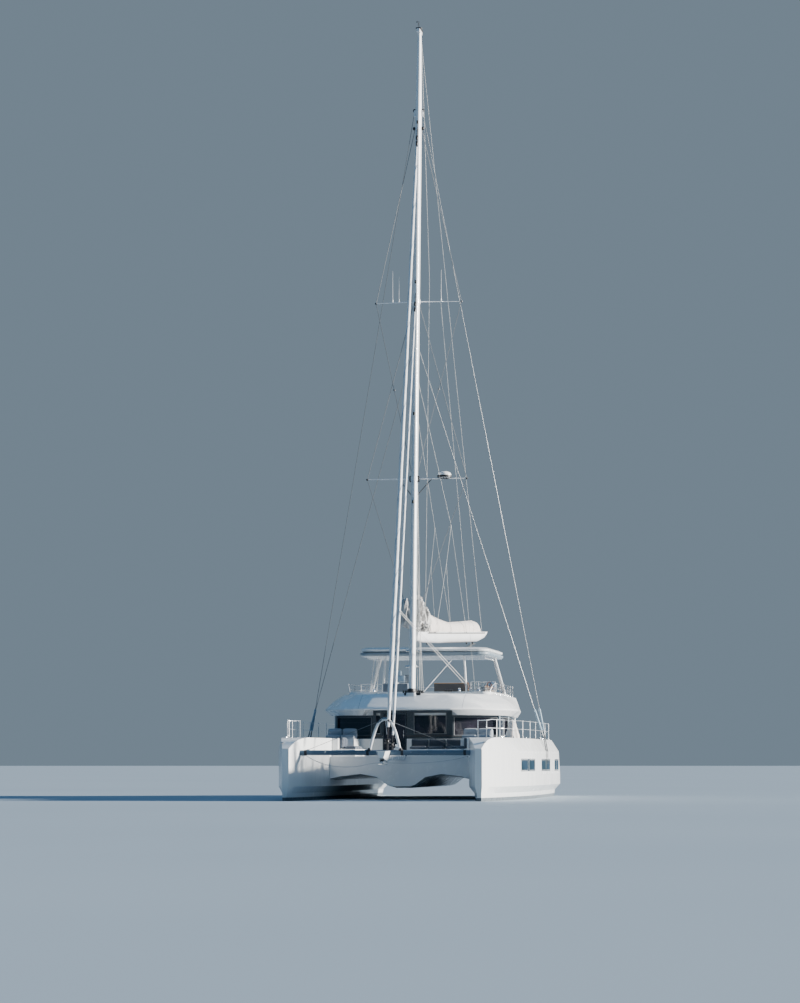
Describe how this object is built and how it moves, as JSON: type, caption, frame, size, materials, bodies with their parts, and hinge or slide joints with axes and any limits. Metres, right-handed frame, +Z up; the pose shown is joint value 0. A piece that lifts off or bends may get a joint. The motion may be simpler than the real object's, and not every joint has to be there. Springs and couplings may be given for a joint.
{
  "type": "sailing catamaran",
  "caption": "Cruising sailing catamaran with flybridge, hardtop, cabin and furled sails; working boom, rudders, propellers, doors, hatches and ladder.",
  "frame": {"origin": "on the centreline, amidships, at the height of the still waterline", "axes": "+X to port, +Y aft, +Z up"},
  "size_m": [9.4288, 17.052, 31.36],
  "materials": {
    "gelcoat": "polished white gelcoat",
    "keel_paint": "matt dark grey bottom paint",
    "drive_paint": "satin grey paint",
    "bronze": "worn bronze",
    "engine": "painted casting",
    "dark_glass": "tinted glass",
    "spar": "white lacquered aluminium",
    "steel": "polished stainless steel",
    "canvas": "cream acrylic canvas",
    "sailcloth": "white sailcloth with a blue-grey edge strip",
    "cushion": "blue-grey outdoor fabric",
    "net": "grey netting",
    "rope": "white braided rope",
    "wood": "oiled wood"
  },
  "bodies": {
    "vessel": {"hull_port": "gelcoat", "hull_starboard": "gelcoat", "bridgedeck": "gelcoat", "keel_port": "keel_paint", "keel_starboard": "keel_paint", "saildrive_port": "drive_paint", "saildrive_starboard": "drive_paint", "engine_port": "engine", "engine_starboard": "engine", "cabin_walls": "gelcoat", "saloon_glass_port": "dark_glass", "saloon_glass_starboard": "dark_glass", "saloon_furniture": "wood", "flybridge_roof": "gelcoat", "flybridge_stairs": "gelcoat", "flybridge_seating": "cushion", "flybridge_table": "wood", "helm_console": "gelcoat", "helm_seat": "cushion", "hardtop": "gelcoat", "mast": "spar", "lower_spreaders": "spar", "upper_spreaders": "spar", "radar_dome": "gelcoat", "cap_shroud_port": "steel", "cap_shroud_starboard": "steel", "lower_shroud_port": "steel", "lower_shroud_starboard": "steel", "genoa_furled": "sailcloth", "staysail_furled": "sailcloth", "crossbeam": "spar", "longeron": "gelcoat", "trampoline_port": "net", "trampoline_starboard": "net", "anchor": "steel", "forward_cushions_port": "cushion", "forward_cushions_starboard": "cushion", "sunbed_port": "cushion", "sunbed_starboard": "cushion", "covered_winch": "canvas", "cockpit_cushions": "cushion", "cockpit_table": "wood", "guardrail_port": "steel", "guardrail_starboard": "steel", "flybridge_rail": "steel", "bridle_port": "rope", "bridle_starboard": "rope"},
    "rudder_port": {"rudder_port": "keel_paint"},
    "rudder_starboard": {"rudder_starboard": "keel_paint"},
    "propeller_port": {"propeller_port": "bronze"},
    "propeller_starboard": {"propeller_starboard": "bronze"},
    "engine_hatch_port": {"engine_hatch_port": "gelcoat"},
    "engine_hatch_starboard": {"engine_hatch_starboard": "gelcoat"},
    "front_door": {"front_door": "dark_glass"},
    "aft_door": {"aft_door": "dark_glass"},
    "steering_wheel": {"steering_wheel": "steel"},
    "boom": {"boom": "spar", "sail_stack": "canvas"},
    "bathing_ladder": {"bathing_ladder": "steel"}
  },
  "joints": [
    {"name": "rudder_starboard_turn", "type": "hinge", "parent": "vessel", "child": "rudder_starboard", "pos_m": [-3.52, 6.25, -0.9], "axis": [0, 0, 1], "range_deg": [-35, 35]},
    {"name": "rudder_port_turn", "type": "hinge", "parent": "vessel", "child": "rudder_port", "pos_m": [3.52, 6.25, -0.9], "axis": [0, 0, 1], "range_deg": [-35, 35]},
    {"name": "steering_wheel_turn", "type": "hinge", "parent": "vessel", "child": "steering_wheel", "pos_m": [-1, 0.95, 3.99], "axis": [0, 1, 0], "range_deg": [-541, 541]},
    {"name": "propeller_port_spin", "type": "hinge", "parent": "vessel", "child": "propeller_port", "pos_m": [3.52, 5.4, -0.92], "axis": [0, 1, 0], "continuous": true},
    {"name": "propeller_starboard_spin", "type": "hinge", "parent": "vessel", "child": "propeller_starboard", "pos_m": [-3.52, 5.4, -0.92], "axis": [0, 1, 0], "continuous": true},
    {"name": "boom_swing", "type": "hinge", "parent": "vessel", "child": "boom", "pos_m": [0, -1.21, 6.06], "axis": [0, 0, 1], "range_deg": [-34.4, 57.6]},
    {"name": "front_door_swing", "type": "hinge", "parent": "vessel", "child": "front_door", "pos_m": [-1.133, -1.614, 2.4], "axis": [0, 0, -1], "range_deg": [0, 100]},
    {"name": "aft_door_slide", "type": "slide", "parent": "vessel", "child": "aft_door", "axis": [-1, 0, 0], "range_m": [0, 1.4]},
    {"name": "engine_hatch_port_lift", "type": "hinge", "parent": "vessel", "child": "engine_hatch_port", "pos_m": [3.52, 4.46, 2.2533], "axis": [1, 0, 0], "range_deg": [0, 75]},
    {"name": "engine_hatch_starboard_lift", "type": "hinge", "parent": "vessel", "child": "engine_hatch_starboard", "pos_m": [-3.52, 4.46, 2.2533], "axis": [1, 0, 0], "range_deg": [0, 75]},
    {"name": "bathing_ladder_fold", "type": "hinge", "parent": "vessel", "child": "bathing_ladder", "pos_m": [-3.3, 8.532, 0.47], "axis": [-1, 0, 0], "range_deg": [0, 180]}
  ],
  "couplings": [
    {"joint": "rudder_port_turn", "follows": "rudder_starboard_turn", "ratio": 1},
    {"joint": "steering_wheel_turn", "follows": "rudder_starboard_turn", "ratio": 15.43}
  ]
}
